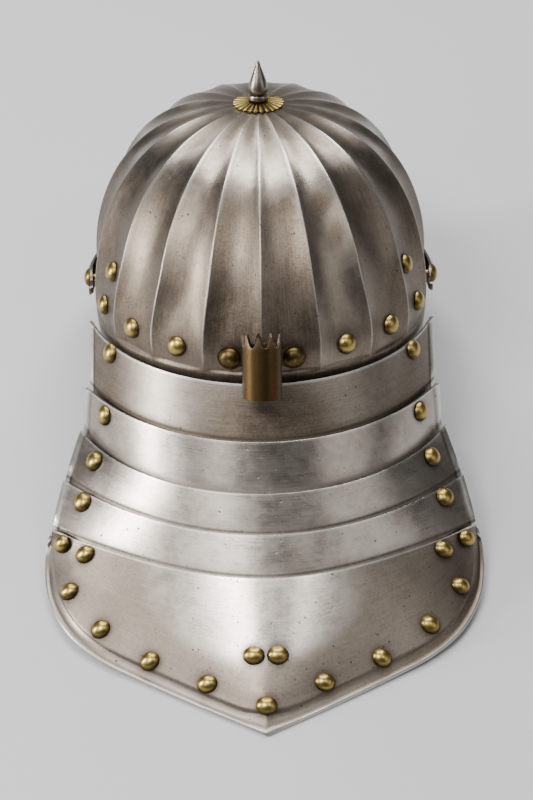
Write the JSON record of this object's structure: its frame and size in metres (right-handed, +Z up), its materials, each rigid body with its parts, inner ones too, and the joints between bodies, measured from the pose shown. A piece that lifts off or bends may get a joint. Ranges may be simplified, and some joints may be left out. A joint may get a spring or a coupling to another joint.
{
  "type": "lobster-tail pot helmet",
  "caption": "Fluted steel cavalry helmet with a broad peak, a petalled rosette and spike on its crown, a brass plume holder and a neck guard of overlapping riveted lames.",
  "frame": {"origin": "on the table, under the middle of the box round the helmet as it rests on the tip of its peak and the rim of its neck guard", "axes": "+Y towards the wearer's front, +X to the right in a view from behind, +Z up from the table"},
  "size_m": [0.2624, 0.4391, 0.2281],
  "materials": {
    "steel": "old polished steel with pits and brown stains",
    "rivet_brass": "tarnished brass",
    "holder_brass": "reddish tarnished brass"
  },
  "bodies": {
    "helmet": {"peak": "steel", "plume_holder": "holder_brass", "rivet_high_left": "rivet_brass", "rivet_high_right": "rivet_brass", "rivet_row_01": "rivet_brass", "rivet_row_02": "rivet_brass", "rivet_row_03": "rivet_brass", "rivet_row_04": "rivet_brass", "rivet_row_05": "rivet_brass", "rivet_row_06": "rivet_brass", "rivet_row_07": "rivet_brass", "rivet_row_08": "rivet_brass", "rivet_row_09": "rivet_brass", "rivet_row_10": "rivet_brass", "rivet_row_11": "rivet_brass", "rivet_row_12": "rivet_brass", "rivet_row_13": "rivet_brass", "rivet_row_14": "rivet_brass", "rivet_row_15": "rivet_brass", "rivet_row_16": "rivet_brass", "rivet_row_17": "rivet_brass", "rivet_row_18": "rivet_brass", "rosette": "rivet_brass", "skull": "steel", "spike": "steel"},
    "lame_1_body": {"lame_1": "steel", "pivot_1_left": "rivet_brass", "pivot_1_right": "rivet_brass"},
    "lame_2_body": {"lame_2": "steel", "pivot_2_left": "rivet_brass", "pivot_2_right": "rivet_brass"},
    "lame_3_body": {"lame_3": "steel", "pivot_3_left": "rivet_brass", "pivot_3_right": "rivet_brass"},
    "lame_4_body": {"lame_4": "steel", "pivot_4_left": "rivet_brass", "pivot_4_right": "rivet_brass"},
    "lame_5_body": {"lame_5": "steel", "middle_rivet_left": "rivet_brass", "middle_rivet_right": "rivet_brass", "pivot_5_left": "rivet_brass", "pivot_5_right": "rivet_brass", "rim_rivet_1_left": "rivet_brass", "rim_rivet_1_right": "rivet_brass", "rim_rivet_2_left": "rivet_brass", "rim_rivet_2_right": "rivet_brass", "rim_rivet_3_left": "rivet_brass", "rim_rivet_3_right": "rivet_brass", "rim_rivet_4_left": "rivet_brass", "rim_rivet_4_right": "rivet_brass", "rim_rivet_5_left": "rivet_brass", "rim_rivet_5_right": "rivet_brass", "rim_rivet_tip": "rivet_brass"}
  },
  "joints": [
    {"name": "lame_1_hinge", "type": "hinge", "parent": "helmet", "child": "lame_1_body", "pos_m": [0, -0.0046, 0.09518], "axis": [-1, 0, 0], "range_deg": [0, 5]},
    {"name": "lame_2_hinge", "type": "hinge", "parent": "lame_1_body", "child": "lame_2_body", "pos_m": [0, -0.03168, 0.06944], "axis": [-1, 0, 0], "range_deg": [0, 5]},
    {"name": "lame_3_hinge", "type": "hinge", "parent": "lame_2_body", "child": "lame_3_body", "pos_m": [0, -0.05105, 0.04987], "axis": [-1, 0, 0], "range_deg": [0, 5]},
    {"name": "lame_4_hinge", "type": "hinge", "parent": "lame_3_body", "child": "lame_4_body", "pos_m": [0, -0.07421, 0.03896], "axis": [-1, 0, 0], "range_deg": [0, 5]},
    {"name": "lame_5_hinge", "type": "hinge", "parent": "lame_4_body", "child": "lame_5_body", "pos_m": [0, -0.10681, 0.02854], "axis": [-1, 0, 0], "range_deg": [0, 5]}
  ]
}
